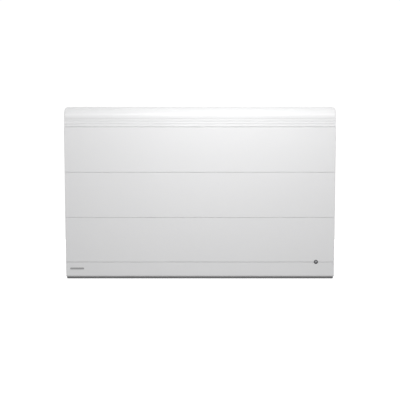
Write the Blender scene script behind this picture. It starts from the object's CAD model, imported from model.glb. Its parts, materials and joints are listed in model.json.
import json
import math

import bmesh
import bpy
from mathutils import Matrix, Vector


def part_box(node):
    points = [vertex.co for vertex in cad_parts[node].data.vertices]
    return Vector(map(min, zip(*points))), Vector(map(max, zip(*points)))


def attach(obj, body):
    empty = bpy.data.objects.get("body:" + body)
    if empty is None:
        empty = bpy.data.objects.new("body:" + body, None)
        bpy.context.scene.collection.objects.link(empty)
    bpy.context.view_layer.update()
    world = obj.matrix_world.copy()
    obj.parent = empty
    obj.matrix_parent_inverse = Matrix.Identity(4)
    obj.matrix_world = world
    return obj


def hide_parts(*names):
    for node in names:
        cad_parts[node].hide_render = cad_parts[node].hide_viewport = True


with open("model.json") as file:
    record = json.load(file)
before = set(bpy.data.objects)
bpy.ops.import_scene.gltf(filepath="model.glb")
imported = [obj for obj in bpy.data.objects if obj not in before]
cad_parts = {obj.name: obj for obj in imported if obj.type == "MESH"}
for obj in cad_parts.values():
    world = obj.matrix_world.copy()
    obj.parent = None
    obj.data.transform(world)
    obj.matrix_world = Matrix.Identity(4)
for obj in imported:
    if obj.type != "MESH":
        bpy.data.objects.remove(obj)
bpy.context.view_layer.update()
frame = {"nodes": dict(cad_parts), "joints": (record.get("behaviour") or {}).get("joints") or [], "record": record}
NODES = frame["nodes"]
BODY_OF = {n: b for b, ns in frame["record"]["behaviour"]["bodies"].items() for n in ns}
SLOT_OF = {s["node"]: s["material_slot"] for s in frame["record"]["subparts"]}
MM = 0.001


# ---------- materials ----------

# The part of a noise texture's range that is used, and the range of pointiness where an edge wears.
NOISE_SPAN = (0.3, 0.7)
WORN_SPAN = (0.53, 0.62)


def noise_value(tree, coords, scale, low, high, stretch):
    """A noise texture, mapped to the range low to high."""
    nodes, link = tree.nodes, tree.links.new
    mapping = nodes.new("ShaderNodeMapping")
    mapping.inputs["Scale"].default_value = stretch
    texture = nodes.new("ShaderNodeTexNoise")
    texture.inputs["Scale"].default_value = scale
    texture.inputs["Detail"].default_value = 3
    span = nodes.new("ShaderNodeMapRange")
    span.inputs["From Min"].default_value = NOISE_SPAN[0]
    span.inputs["From Max"].default_value = NOISE_SPAN[1]
    span.inputs["To Min"].default_value = low
    span.inputs["To Max"].default_value = high
    link(coords, mapping.inputs["Vector"])
    link(mapping.outputs[0], texture.inputs["Vector"])
    link(texture.outputs["Fac"], span.inputs["Value"])
    return span.outputs["Result"]


def finish_material(name, color, rough, grain, metallic=0.0, coat=0.0, tint=0.015, tint_scale=9.0,
                    rough_spread=0.05, wear=0.0, streak=(1, 1, 1), alpha=1.0):
    """A node material: slow colour drift, uneven roughness, fine surface grain and paler worn edges."""
    m = bpy.data.materials.new(name)
    m.use_nodes = True
    tree = m.node_tree
    nodes, link = tree.nodes, tree.links.new
    shader = nodes["Principled BSDF"]
    shader.inputs["Metallic"].default_value = metallic
    shader.inputs["Coat Weight"].default_value = coat
    shader.inputs["Coat Roughness"].default_value = 0.08
    shader.inputs["Alpha"].default_value = alpha
    coords = nodes.new("ShaderNodeTexCoord").outputs["Object"]
    mix = nodes.new("ShaderNodeMix")
    mix.data_type = "RGBA"
    mix.inputs["A"].default_value = (*[c * (1 - tint) for c in color], 1)
    mix.inputs["B"].default_value = (*[min(1.0, c * (1 + tint)) for c in color], 1)
    link(noise_value(tree, coords, tint_scale, 0, 1, streak), mix.inputs["Factor"])
    base = mix.outputs["Result"]
    if wear:
        worn = nodes.new("ShaderNodeMix")
        worn.data_type = "RGBA"
        worn.inputs["B"].default_value = (*[min(1.0, c * 1.5 + 0.06) for c in color], 1)
        edge = nodes.new("ShaderNodeMapRange")
        edge.inputs["From Min"].default_value = WORN_SPAN[0]
        edge.inputs["From Max"].default_value = WORN_SPAN[1]
        edge.inputs["To Max"].default_value = wear
        link(nodes.new("ShaderNodeNewGeometry").outputs["Pointiness"], edge.inputs["Value"])
        link(edge.outputs["Result"], worn.inputs["Factor"])
        link(base, worn.inputs["A"])
        base = worn.outputs["Result"]
    link(base, shader.inputs["Base Color"])
    smooth, dull = rough - rough_spread, rough + rough_spread
    link(noise_value(tree, coords, tint_scale * 1.7, smooth, dull, streak), shader.inputs["Roughness"])
    scale, strength, distance = grain
    bump = nodes.new("ShaderNodeBump")
    bump.inputs["Strength"].default_value = strength
    bump.inputs["Distance"].default_value = distance
    link(noise_value(tree, coords, scale, 0, 1, streak), bump.inputs["Height"])
    link(bump.outputs["Normal"], shader.inputs["Normal"])
    return m


# Surface grain: noise scale, bump strength and bump distance.
ORANGE_PEEL = (260.0, 0.10, 0.0002)
MOULD_GRAIN = (1500.0, 0.25, 0.0001)
# Each finish: base colour, roughness, and what else sets it apart.
FINISHES = {
    "front_enamel": ((0.80, 0.80, 0.805), 0.42, dict(grain=ORANGE_PEEL, tint=0.006, tint_scale=3)),
    "cap_plastic": ((0.83, 0.83, 0.835), 0.16, dict(coat=0.6, grain=(120.0, 0.03, 0.0002), tint=0.006)),
    "white_plastic": ((0.79, 0.79, 0.795), 0.42, dict(grain=MOULD_GRAIN, tint=0.008)),
    "rear_enamel": ((0.72, 0.72, 0.725), 0.45, dict(grain=ORANGE_PEEL, tint=0.012)),
    "dark_plastic": ((0.188, 0.188, 0.193), 0.5, dict(grain=MOULD_GRAIN, tint=0.06, wear=0.35)),
    "badge_grey": ((0.365, 0.365, 0.37), 0.3, dict(coat=0.4, grain=(400.0, 0.05, 0.0001), tint=0.03)),
    "rubber": ((0.035, 0.035, 0.036), 0.75, dict(grain=(900.0, 0.4, 0.0001), tint=0.12)),
    "zinc_steel": ((0.62, 0.63, 0.64), 0.34, dict(
        metallic=0.95, grain=(500.0, 0.12, 0.0001), tint=0.10, tint_scale=55,
        rough_spread=0.10, wear=0.4, streak=(0.25, 1, 1),
    )),
    "film": ((0.30, 0.15, 0.06), 0.35, dict(grain=(60.0, 0.1, 0.0003), tint=0.12)),
    "silicone": ((0.50, 0.13, 0.07), 0.6, dict(grain=MOULD_GRAIN, tint=0.05)),
    "block_aluminium": ((0.60, 0.61, 0.62), 0.42, dict(
        metallic=0.95, grain=(700.0, 0.3, 0.0002), tint=0.06, tint_scale=30, wear=0.3,
    )),
    "rod_steel": ((0.26, 0.24, 0.23), 0.38, dict(metallic=0.9, grain=(600.0, 0.15, 0.0001), tint=0.18)),
    "ceramic": ((0.78, 0.75, 0.67), 0.25, dict(coat=0.5, grain=(300.0, 0.06, 0.0001), tint=0.03)),
    "board_green": ((0.03, 0.16, 0.07), 0.3, dict(
        coat=0.3, grain=(350.0, 0.2, 0.0002), tint=0.16, tint_scale=140,
    )),
    "component_black": ((0.03, 0.03, 0.034), 0.45, dict(grain=MOULD_GRAIN, tint=0.15, wear=0.2)),
    "nylon": ((0.70, 0.69, 0.62), 0.45, dict(grain=MOULD_GRAIN, tint=0.04)),
    "lead_red": ((0.40, 0.04, 0.03), 0.5, dict(grain=MOULD_GRAIN, tint=0.08)),
    "lens_grey": ((0.34, 0.34, 0.35), 0.12, dict(coat=0.8, grain=(250.0, 0.04, 0.0001), tint=0.04)),
    "switch_black": ((0.022, 0.022, 0.024), 0.25, dict(
        coat=0.3, grain=(800.0, 0.1, 0.0001), tint=0.1, wear=0.2,
    )),
    "bezel_grey": ((0.05, 0.05, 0.054), 0.5, dict(grain=MOULD_GRAIN, tint=0.06, wear=0.3)),
    "window": ((0.75, 0.80, 0.80), 0.06, dict(
        coat=1.0, grain=(90.0, 0.02, 0.0001), tint=0.02, alpha=0.18,
    )),
    "lcd": ((0.30, 0.36, 0.28), 0.2, dict(coat=0.5, grain=(2500.0, 0.05, 0.0001), tint=0.03)),
    "key_grey": ((0.62, 0.62, 0.63), 0.5, dict(grain=MOULD_GRAIN, tint=0.03, wear=0.2)),
    "lock_red": ((0.50, 0.05, 0.03), 0.42, dict(grain=MOULD_GRAIN, tint=0.06, wear=0.25)),
}
MATERIALS = {
    name: finish_material(name, color, rough, **more) for name, (color, rough, more) in FINISHES.items()
}
for node, obj in NODES.items():
    obj.data.materials.clear()
    obj.data.materials.append(MATERIALS[SLOT_OF[node]])


# ---------- mesh tools ----------

# Edges that turn by more than this many degrees stay sharp in the shading, and bevels round them.
SHARP = 32


def add_piece(name, verts, faces, body, slot, replaced=(), crease=35, bevel=0.0):
    """A mesh piece in the row frame, riding on a body, with soft edges where bevel is given."""
    mesh = bpy.data.meshes.new(name)
    mesh.from_pydata([tuple(v) for v in verts], [], faces)
    bm = bmesh.new()
    bm.from_mesh(mesh)
    bmesh.ops.remove_doubles(bm, verts=bm.verts, dist=1e-6)
    bmesh.ops.recalc_face_normals(bm, faces=bm.faces)
    settle(bm, mesh, crease)
    return place(name, mesh, body, slot, replaced, bevel)


def settle(bm, mesh, crease):
    """Writes bm to mesh, smooth except over edges sharper than crease degrees."""
    for face in bm.faces:
        face.smooth = True
    for edge in bm.edges:
        edge.smooth = not edge.is_manifold or edge.calc_face_angle(0) < math.radians(crease)
    bm.to_mesh(mesh)
    bm.free()


def soften_edges(obj, width, angle):
    """Rounds the edges sharper than angle degrees."""
    soften = obj.modifiers.new("soften", "BEVEL")
    soften.width = width
    soften.segments = 2
    soften.limit_method = "ANGLE"
    soften.angle_limit = math.radians(angle)


def resettle(obj):
    """Sets a cut piece's edges again and gives it back its modifier for even normals."""
    bm = bmesh.new()
    bm.from_mesh(obj.data)
    settle(bm, obj.data, SHARP)
    normals = obj.modifiers.new("normals", "WEIGHTED_NORMAL")
    normals.keep_sharp = True


def place(name, mesh, body, slot, replaced, bevel):
    """Puts a mesh in the scene as a piece that rides on a body, and takes the replaced nodes' place."""
    mesh.materials.clear()
    mesh.materials.append(MATERIALS[slot])
    obj = bpy.data.objects.new(name, mesh)
    bpy.context.scene.collection.objects.link(obj)
    if bevel:
        soften_edges(obj, bevel, SHARP)
    normals = obj.modifiers.new("normals", "WEIGHTED_NORMAL")
    normals.keep_sharp = True
    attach(obj, body)
    if replaced:
        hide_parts(*replaced)
    return obj


def refine(node, bevel):
    """Stands for a CAD node with the same shape: faces merged, edges softened by bevel mm."""
    bm = bmesh.new()
    bm.from_mesh(NODES[node].data)
    bmesh.ops.remove_doubles(bm, verts=bm.verts, dist=2e-6)
    bmesh.ops.dissolve_limit(
        bm, angle_limit=math.radians(0.5), use_dissolve_boundaries=False, verts=bm.verts, edges=bm.edges
    )
    bmesh.ops.recalc_face_normals(bm, faces=bm.faces)
    mesh = bpy.data.meshes.new(node + "_skin")
    settle(bm, mesh, SHARP)
    return place(node + "_skin", mesh, BODY_OF[node], SLOT_OF[node], (node,), bevel * MM)


def grid(rows):
    """Vertices and quads of a sheet made from equal rows of points."""
    n = len(rows[0])
    verts = [p for row in rows for p in row]
    faces = []
    for i in range(len(rows) - 1):
        for j in range(n - 1):
            a, b = i * n + j, (i + 1) * n + j
            faces.append((a, a + 1, b + 1, b))
    return verts, faces


def arc(cy, cz, r, a0, a1, n):
    """Points (y, z, ny, nz) on an arc, with their outward normals; angles in degrees from +Y to +Z."""
    out = []
    for i in range(n + 1):
        a = math.radians(a0 + (a1 - a0) * i / n)
        out.append((cy + r * math.cos(a), cz + r * math.sin(a), math.cos(a), math.sin(a)))
    return out


def cutter(low, high, radius=0.0):
    """An unseen box that a Boolean takes away, with its upright edges rounded."""
    bm = bmesh.new()
    bmesh.ops.create_cube(bm, size=1)
    for v in bm.verts:
        v.co = Vector([low[k] if v.co[k] < 0 else high[k] for k in range(3)])
    if radius:
        upright = [e for e in bm.edges if abs((e.verts[0].co - e.verts[1].co).normalized().z) > 0.9]
        bmesh.ops.bevel(bm, geom=upright, offset=radius, segments=5, affect="EDGES", profile=0.5)
    mesh = bpy.data.meshes.new("cut")
    bm.to_mesh(mesh)
    bm.free()
    return bpy.data.objects.new("cut", mesh)


def round_cutter(x, z, radius, y0, y1):
    """An unseen cylinder along Y that a Boolean takes away."""
    bm = bmesh.new()
    bmesh.ops.create_cone(bm, cap_ends=True, segments=64, radius1=radius, radius2=radius, depth=y1 - y0)
    for v in bm.verts:
        v.co = Vector((x + v.co.x, (y0 + y1) / 2 + v.co.z, z + v.co.y))
    bmesh.ops.recalc_face_normals(bm, faces=bm.faces)
    mesh = bpy.data.meshes.new("cut")
    bm.to_mesh(mesh)
    bm.free()
    return bpy.data.objects.new("cut", mesh)


def cut(obj, tools):
    """Takes the cutters away from obj for good, and deletes them."""
    for tool in tools:
        bpy.context.scene.collection.objects.link(tool)
        modifier = obj.modifiers.new("cut", "BOOLEAN")
        modifier.operation = "DIFFERENCE"
        modifier.solver = "EXACT"
        modifier.object = tool
    bpy.context.view_layer.update()
    depsgraph = bpy.context.evaluated_depsgraph_get()
    mesh = bpy.data.meshes.new_from_object(obj.evaluated_get(depsgraph))
    obj.modifiers.clear()
    obj.data = mesh
    for tool in tools:
        bpy.data.objects.remove(tool)


# ---------- the front ----------

# Outer radius of the detector eye's ring.
EYE_R = 6.7 * MM


def cap():
    """Rounded glossy cap: a shell lofted along X whose ends are filleted."""
    low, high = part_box("top_cap")
    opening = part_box("control_flap")
    thickness, arc_r, back_r, lip_r = 2.5 * MM, 36 * MM, 4 * MM, 0.35 * MM
    path = [(y, z, -1, 0) for y, z, _, _ in arc(low.y + lip_r, low.z + lip_r, lip_r, 270, 180, 4)]
    path += arc(low.y + arc_r, high.z - arc_r, arc_r, 180, 90, 28)
    path += arc(high.y - back_r, high.z - back_r, back_r, 90, 0, 6)
    path += [(high.y, low.z, 1, 0)]
    fillet_z, fillet_y, steps = 12 * MM, 2 * MM, 12
    stations = []
    for i in range(steps + 1):
        a = math.pi / 2 * (1 - i / steps)
        stations.append((high.x - fillet_z * (1 - math.sin(a)), 1 - math.cos(a)))
    stations = [(-x, k) for x, k in stations] + [(x, k) for x, k in reversed(stations)]

    def sheet(t):
        rows = []
        for x, k in stations:
            inset_x = x - math.copysign(t, x)
            scale_y = 1 - k * fillet_y / (high.y - low.y)
            row = []
            for y, z, ny, nz in path:
                below = high.z - z
                drop = (below ** 3 + (k * fillet_z) ** 3) ** (1 / 3) - below
                z -= drop * (z - low.z) / (high.z - low.z)
                row.append(Vector((inset_x, high.y - (high.y - y) * scale_y - ny * t, z - nz * t)))
            rows.append(row)
        return rows

    outer, inner = sheet(0), sheet(thickness)
    for row in inner:
        row[0].z = row[-1].z = low.z
    n, m = len(path), len(stations)
    verts, faces = grid(outer)
    inside, inside_faces = grid(inner)
    shift = len(verts)
    verts += inside
    faces += [tuple(reversed([v + shift for v in f])) for f in inside_faces]
    for start in (0, (m - 1) * n):
        faces.append(tuple(range(start, start + n)))
        faces.append(tuple(range(shift + start, shift + start + n)))
        faces.append((start, start + n - 1, shift + start + n - 1, shift + start))
    for j in (0, n - 1):
        for i in range(m - 1):
            a, b = i * n + j, (i + 1) * n + j
            faces.append((a, b, shift + b, shift + a))
    obj = add_piece("cap_shell", verts, faces, "heater", "cap_plastic", ("top_cap",), crease=40)
    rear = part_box("rear_panel")
    gap, past = 0.6 * MM, 5 * MM
    cut(obj, [
        cutter(
            (opening[0].x - gap, opening[0].y - gap, high.z - 12 * MM),
            (opening[1].x + gap, opening[1].y + gap, high.z + past), 2.4 * MM
        ),
        cutter(
            (rear[0].x - gap, high.y - 8 * MM, low.z - past),
            (rear[1].x + gap, high.y + past, rear[1].z + gap)
        ),
    ])
    resettle(obj)


def front_sheet():
    """Pressed front: a folded sheet with two pressed seams, drawn as an outer and an inner surface."""
    low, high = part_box("front_panel")
    sheet, fold, side_r, return_d = 1.2, 1.4, 3.0, 12.0
    # each row holds height and depth of the outer surface, then of the inner one, first over the folded edge
    edge = []
    for t in (0, 22, 45, 67, 90):
        a = math.radians(t)
        edge.append((
            fold * (1 - math.cos(a)), fold * (1 - math.sin(a)),
            sheet + (fold - sheet) * (1 - math.cos(a)), (fold - sheet) * (1 - math.sin(a)),
        ))
    # then over half of a groove, from its rim to its bottom, with heights taken from the groove's middle
    groove = [
        (1.45, 0, 2.6, 0), (1.2, 0.06, 2.45, 0.1), (1.05, 0.3, 2.3, 0.3), (0.88, 2.3, 2.1, 2.3),
        (0.7, 2.5, 1.95, 2.5)
    ]
    height = (high.z - low.z) / MM
    levels = list(edge)
    for third in (1, 2):
        s = height * third / 3
        levels += [(s - z, d, s - inner_z, inner_d) for z, d, inner_z, inner_d in groove]
        levels += [(s + z, d, s + inner_z, inner_d) for z, d, inner_z, inner_d in reversed(groove)]
    levels += [(height - z, d, height - inner_z, inner_d) for z, d, inner_z, inner_d in reversed(edge)]

    def outline(inset, depth):
        radius = side_r - inset
        half = []
        for t in (0, 18, 36, 54, 72, 90):
            a = math.radians(t)
            half.append((
                high.x / MM - inset - radius * (1 - math.cos(a)),
                inset + radius * (1 - math.sin(a)) + depth * math.sin(a),
            ))
        half = [(high.x / MM - inset, return_d)] + half
        return [(-x, y) for x, y in half] + half[::-1]

    def ring(inset, z, depth):
        return [Vector((x * MM, low.y + y * MM, low.z + z * MM)) for x, y in outline(inset, depth)]

    outer = [ring(0, z, d) for z, d, _, _ in levels]
    inner = [ring(sheet, z, d) for _, _, z, d in levels]
    verts, faces = grid(outer)
    more, more_faces = grid(inner)
    n, m, shift = len(outer[0]), len(outer), len(verts)
    verts += more
    faces += [tuple(v + shift for v in reversed(f)) for f in more_faces]
    for i in range(m - 1):
        for j in (0, n - 1):
            a, b = i * n + j, (i + 1) * n + j
            faces.append((a, b, shift + b, shift + a))
    for j in range(n - 1):
        for i in (0, m - 1):
            a, b = i * n + j, i * n + j + 1
            faces.append((a, b, shift + b, shift + a))
    obj = add_piece("front_sheet", verts, faces, "heater", "front_enamel", ("front_panel",), crease=50)
    bore_for_eye(obj, 0.3 * MM, low.y - 2 * MM, low.y + 3 * MM)


def bore_for_eye(obj, gap, y0, y1):
    """Cuts the round hole for the detector eye, with a gap round its ring."""
    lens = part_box("sensor_lens")
    middle = (lens[0] + lens[1]) / 2
    cut(obj, [round_cutter(middle.x, middle.z, EYE_R + gap, y0, y1)])
    resettle(obj)


def hemmed_edges():
    """The folded upper and lower hems behind the front sheet."""
    low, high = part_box("front_panel")
    sheet, end = 1.2 * MM, 6 * MM
    xs, ys = (low.x + end, high.x - end), (low.y + 1.3 * MM, low.y + 8 * MM)
    for name, z0 in (("hem_lower", low.z), ("hem_upper", high.z - sheet)):
        verts = [(x, y, z) for x in xs for y in ys for z in (z0, z0 + sheet)]
        faces = [(0, 1, 3, 2), (4, 6, 7, 5), (0, 4, 5, 1), (2, 3, 7, 6), (0, 2, 6, 4), (1, 5, 7, 3)]
        hem = add_piece(name, verts, faces, "heater", "front_enamel", bevel=0.4 * MM)
        if name == "hem_lower":
            bore_for_eye(hem, 3.3 * MM, low.y, low.y + 12 * MM)


cap()
front_sheet()
hemmed_edges()
# The other nodes that show, and the width in mm of their softened edges.
SOFTENED = (
    ("outlet_grille", 0.15), ("lower_fascia", 0.5), ("cheek_left", 0.6), ("cheek_right", 0.6),
    ("rear_panel", 0.3), ("inlet_tray", 0.5), ("blank_badge", 0.15), ("sensor_bezel", 0.3),
    ("sensor_lens", 0.1), ("control_flap", 0.35), ("wall_buffers", 0.6),
    ("bracket_rail_left", 0.3), ("bracket_rail_right", 0.3),
    ("bracket_crossbar_top", 0.3), ("bracket_crossbar_bottom", 0.3),
    ("lock_base", 0.4), ("lock_left", 0.6), ("lock_right", 0.6), ("cable_gland", 0.4),
    ("switch_body", 0.3), ("rocker", 0.4), ("control_housing", 0.4), ("control_bezel", 0.25),
    ("display_window", 0.2), ("key_plus", 0.4), ("key_minus", 0.4), ("key_mode", 0.4),
    ("key_menu", 0.4), ("key_back", 0.4), ("key_ok", 0.4),
)
for node, width in SOFTENED:
    refine(node, width)


# ---------- small details ----------

# Raised marks on a surface: how far they are sunk into it, and how far they stand out, in mm.
SUNK, PROUD = -0.1, 0.1


def prism(points, to_world, proud=PROUD):
    """A flat outline made into a raised mark: to_world turns (u, v, w) into the row frame."""
    n = len(points)
    verts = [to_world(u, v, w) for w in (SUNK, proud) for u, v in points]
    faces = [tuple(range(n)), tuple(range(n, 2 * n))]
    faces += [(i, (i + 1) % n, n + (i + 1) % n, n + i) for i in range(n)]
    return verts, faces


def loop(center, inner, outer, to_world, proud=PROUD):
    """A raised ring, in the same way as a prism."""
    n = 28
    verts = []
    for w in (SUNK, proud):
        for r in (inner, outer):
            for i in range(n):
                a = 2 * math.pi * i / n
                verts.append(to_world(center[0] + r * math.cos(a), center[1] + r * math.sin(a), w))
    faces = []
    for i in range(n):
        k = (i + 1) % n
        for a, b in ((0, 1), (2, 3), (0, 2), (1, 3)):
            faces.append((a * n + i, a * n + k, b * n + k, b * n + i))
    return verts, faces


def stroke(p, q, width):
    """The outline of a straight line of the given width."""
    along = (Vector(q) - Vector(p)).normalized() * width / 2
    side = Vector((-along.y, along.x))
    p, q = Vector(p) - along, Vector(q) + along
    return [p + side, p - side, q - side, q + side]


def join(parts):
    """Several meshes as one."""
    verts, faces = [], []
    for v, f in parts:
        shift = len(verts)
        verts += v
        faces += [tuple(i + shift for i in face) for face in f]
    return verts, faces


def key_symbols():
    """A generic raised sign on each control key: its strokes and its rings, in mm from the key's middle."""
    line, raised = 0.7, 0.12
    rays = []
    for t in range(0, 360, 45):
        out = Vector((math.cos(math.radians(t)), math.sin(math.radians(t))))
        rays.append((out * 2.1, out * 2.9))
    marks = {
        "key_plus": ([((-2.2, 0), (2.2, 0)), ((0, 0.9), (0, 2.2)), ((0, -2.2), (0, -0.9))], []),
        "key_minus": ([((-2.2, 0), (2.2, 0))], []),
        "key_menu": ([((-2.2, 1.6), (2.2, 1.6)), ((-2.2, 0), (2.2, 0)), ((-2.2, -1.6), (2.2, -1.6))], []),
        "key_back": ([((0.9, 2.0), (-0.7, 0.4)), ((-0.7, -0.4), (0.9, -2.0))], []),
        "key_ok": ([], [(1.3, 2.0)]),
        "key_mode": (rays, [(0.8, 1.4)]),
    }
    for key, (lines, rings) in marks.items():
        low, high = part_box(key)
        middle = (low + high) / 2

        def to_world(u, v, w, x=middle.x, y=middle.y, z=high.z):
            return Vector((x + u * MM, y + v * MM, z + w * MM))

        parts = [prism(stroke(p, q, line), to_world, raised) for p, q in lines]
        parts += [loop((0, 0), inner, outer, to_world, raised) for inner, outer in rings]
        verts, faces = join(parts)
        add_piece(key + "_sign", verts, faces, key, "bezel_grey")


def display_digits():
    """Seven-segment figures on the display glass, with a row of rising bars."""
    low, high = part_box("lcd_module")
    across, up, foot, bars_in = 7.5, 7.0, 9, 9
    segments = {
        "a": ((0, 2), (1, 2)), "b": ((1, 2), (1, 1)), "c": ((1, 1), (1, 0)), "d": ((0, 0), (1, 0)),
        "e": ((0, 1), (0, 0)), "f": ((0, 2), (0, 1)), "g": ((0, 1), (1, 1)),
    }

    def to_world(u, v, t):
        return Vector((low.x + u * MM, low.y + v * MM, high.z + t * MM))

    parts = []
    for place_x, lit in ((14, "abged"), (26, "afgcd"), (40, "afgcd")):
        for name in lit:
            (x0, y0), (x1, y1) = segments[name]
            p = Vector((place_x + x0 * across, foot + y0 * up))
            q = Vector((place_x + x1 * across, foot + y1 * up))
            gap = (q - p).normalized() * 0.95
            parts.append(prism(stroke(p + gap, q - gap, 1.2), to_world))
    parts.append(prism(stroke((36.6, foot), (36.7, foot), 1.4), to_world))
    for i in range(5):
        x = (high.x - low.x) / MM - bars_in + 1.7 * i
        parts.append(prism(stroke((x, foot), (x, foot + 3 + 2.6 * i), 0.9), to_world))
    verts, faces = join(parts)
    add_piece("display_digits", verts, faces, "heater", "component_black")


def rocker_marks():
    """A line and a ring on the two halves of the mains rocker."""
    pivot = Vector(next(j["pos_m"] for j in frame["joints"] if j["name"] == "rocker_pivot"))
    # the rocker's section round its pivot, in mm: its tilt at rest, its ridge, and the upper end of its face
    tilt = math.radians(8)
    ridge, end = Vector((5.4, 0)), Vector((4.0, 8))
    parts = []
    for half in (1, -1):
        slope = Vector((end.x - ridge.x, half * end.y)).normalized()
        out = Vector((abs(slope.y), -slope.x * math.copysign(1, slope.y)))

        def to_world(u, v, w):
            p = ridge + slope * v + out * w
            return pivot + Vector((
                p.x * math.cos(tilt) - p.y * math.sin(tilt), u, p.x * math.sin(tilt) + p.y * math.cos(tilt),
            )) * MM

        if half > 0:
            parts.append(prism(stroke((0, 3.0), (0, 5.6), 0.8), to_world))
        else:
            parts.append(loop((0, 4.2), 1.1, 1.8, to_world))
    verts, faces = join(parts)
    add_piece("rocker_marks", verts, faces, "rocker", "key_grey")


def screw_heads(node):
    """The screws of a node with softened heads and a cross recess in each."""
    arm, half_width, depth = 1.9 * MM, 0.45 * MM, 1.0 * MM
    obj = refine(node, 0)
    bm = bmesh.new()
    bm.from_mesh(obj.data)
    left = dict.fromkeys(bm.verts)
    tools = []
    while left:
        island, reached = set(), [next(iter(left))]
        while reached:
            v = reached.pop()
            if v in left:
                left.pop(v)
                island.add(v)
                reached += [e.other_vert(v) for e in v.link_edges]
        xs, zs = [v.co.x for v in island], [v.co.z for v in island]
        top = max(v.co.y for v in island)
        x, z = (min(xs) + max(xs)) / 2, (min(zs) + max(zs)) / 2
        for a, b in ((arm, half_width), (half_width, arm)):
            tools.append(cutter((x - a, top - depth, z - b), (x + a, top + MM, z + b)))
    bm.free()
    cut(obj, tools)
    bm = bmesh.new()
    bm.from_mesh(obj.data)
    settle(bm, obj.data, SHARP)
    soften_edges(obj, 0.12 * MM, 40)


key_symbols()
display_digits()
rocker_marks()
screw_heads("casing_screws")


# ---------- camera, light and floor ----------

CAMERA_AT = (0, -2.405, 0.1364)
CAMERA_DOWN = 4.0
LENS = 60.6
camera = bpy.data.objects.new("camera", bpy.data.cameras.new("camera"))
bpy.context.scene.collection.objects.link(camera)
camera.data.sensor_width = 36
camera.data.lens = LENS
camera.location = CAMERA_AT
camera.rotation_euler = (math.radians(90 - CAMERA_DOWN), 0, 0)
bpy.context.scene.camera = camera

# The room's light: its strength, how it changes along each axis, and the backdrop that the camera sees.
SKY_STRENGTH = 0.71
SKY_FRONT_TO_BACK = (1.0, 0.89, 1.3)
SKY_DOWN_TO_UP = (0.45, 1.0, 0.95)
SKY_LEFT_TO_RIGHT = (0.68, 1.07, 0.66)
BACKDROP = 1.05
world = bpy.data.worlds.new("studio")
bpy.context.scene.world = world
world.use_nodes = True
tree = world.node_tree
direction = tree.nodes.new("ShaderNodeSeparateXYZ")
tree.links.new(tree.nodes.new("ShaderNodeTexCoord").outputs["Generated"], direction.inputs[0])


def gradient(axis, stops):
    """Brightness that follows one axis of the direction, from -1 to +1, through equal steps."""
    span = tree.nodes.new("ShaderNodeMapRange")
    span.inputs["From Min"].default_value = -1
    ramp = tree.nodes.new("ShaderNodeValToRGB")
    ramp.color_ramp.interpolation = "EASE"
    while len(ramp.color_ramp.elements) < len(stops):
        ramp.color_ramp.elements.new(0.5)
    for i, level in enumerate(stops):
        ramp.color_ramp.elements[i].position = i / (len(stops) - 1)
        ramp.color_ramp.elements[i].color = (level, level, level, 1)
    tree.links.new(direction.outputs[axis], span.inputs["Value"])
    tree.links.new(span.outputs["Result"], ramp.inputs["Fac"])
    return ramp.outputs["Color"]


def product(a, b):
    """One gradient times another."""
    mix = tree.nodes.new("ShaderNodeMix")
    mix.data_type = "RGBA"
    mix.blend_type = "MULTIPLY"
    mix.clamp_result = False
    mix.inputs["Factor"].default_value = 1
    tree.links.new(a, mix.inputs["A"])
    tree.links.new(b, mix.inputs["B"])
    return mix.outputs["Result"]


sky = product(gradient("X", SKY_LEFT_TO_RIGHT), gradient("Y", SKY_FRONT_TO_BACK))
sky = product(sky, gradient("Z", SKY_DOWN_TO_UP))
background = tree.nodes["Background"]
background.inputs["Strength"].default_value = SKY_STRENGTH
tree.links.new(sky, background.inputs["Color"])
seen = tree.nodes.new("ShaderNodeBackground")
seen.inputs["Color"].default_value = (1, 1, 1, 1)
seen.inputs["Strength"].default_value = BACKDROP
choose = tree.nodes.new("ShaderNodeMixShader")
path = tree.nodes.new("ShaderNodeLightPath")
tree.links.new(path.outputs["Is Camera Ray"], choose.inputs["Fac"])
tree.links.new(background.outputs[0], choose.inputs[1])
tree.links.new(seen.outputs[0], choose.inputs[2])
tree.links.new(choose.outputs[0], tree.nodes["World Output"].inputs["Surface"])


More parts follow.
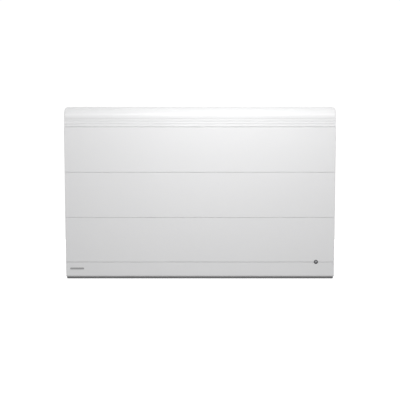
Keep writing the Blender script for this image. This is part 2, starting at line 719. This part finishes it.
def softbox(name, at, aim, size, power, gives="all"):
    """A lamp that the camera doesn't see. It gives all its light, or only the matte or the glossy part."""
    light = bpy.data.lights.new(name, "AREA")
    light.shape = "RECTANGLE"
    light.size, light.size_y = size
    light.energy = power
    obj = bpy.data.objects.new(name, light)
    bpy.context.scene.collection.objects.link(obj)
    obj.location = at
    obj.rotation_euler = (Vector(aim) - Vector(at)).to_track_quat("-Z", "Y").to_euler()
    obj.visible_camera = False
    obj.visible_glossy = gives != "matte"
    obj.visible_diffuse = gives != "gloss"


# Softboxes: name, place, aim, size, power and what light they give.
for box in (
    ("key", (0.09, -1.0, 0.52), (0.05, -0.13, 0.1), (0.5, 0.4), 2.3, "matte"),
    ("wide", (0.07, -1.0, 0.58), (0.05, -0.13, 0.15), (1.25, 0.45), 2.8, "matte"),
    ("gloss", (0.05, -0.7, 0.59), (0.05, -0.12, 0.28), (1.8, 0.12), 1.15, "gloss"),
    ("close", (0.08, -0.45, 0.5), (0.05, -0.13, 0.15), (0.6, 0.15), 0.34),
    ("top", (0.3, -0.3, 1.0), (0.3, -0.1, 0.28), (0.8, 0.3), 0.17),
    ("end", (0.62, -0.36, 0.55), (0.42, -0.11, 0.28), (0.35, 0.12), 0.1),
):
    softbox(*box)

FLOOR_Z, FLOOR_HALF = -0.95, 6
floor_mesh = bpy.data.meshes.new("floor")
corners = [(x * FLOOR_HALF, y * FLOOR_HALF, FLOOR_Z) for x, y in ((-1, -1), (1, -1), (1, 1), (-1, 1))]
floor_mesh.from_pydata(corners, [], [(0, 1, 2, 3)])
floor = bpy.data.objects.new("floor", floor_mesh)
bpy.context.scene.collection.objects.link(floor)
pale = bpy.data.materials.new("pale_floor")
pale.use_nodes = True
pale_shader = pale.node_tree.nodes["Principled BSDF"]
pale_shader.inputs["Base Color"].default_value = (0.9, 0.9, 0.9, 1)
pale_shader.inputs["Roughness"].default_value = 0.9
pale_shader.inputs["Emission Color"].default_value = (1, 1, 1, 1)
pale_shader.inputs["Emission Strength"].default_value = 1.0
floor.visible_diffuse = False
floor.visible_glossy = False
floor_mesh.materials.append(pale)

bpy.context.scene.view_settings.view_transform = "Standard"
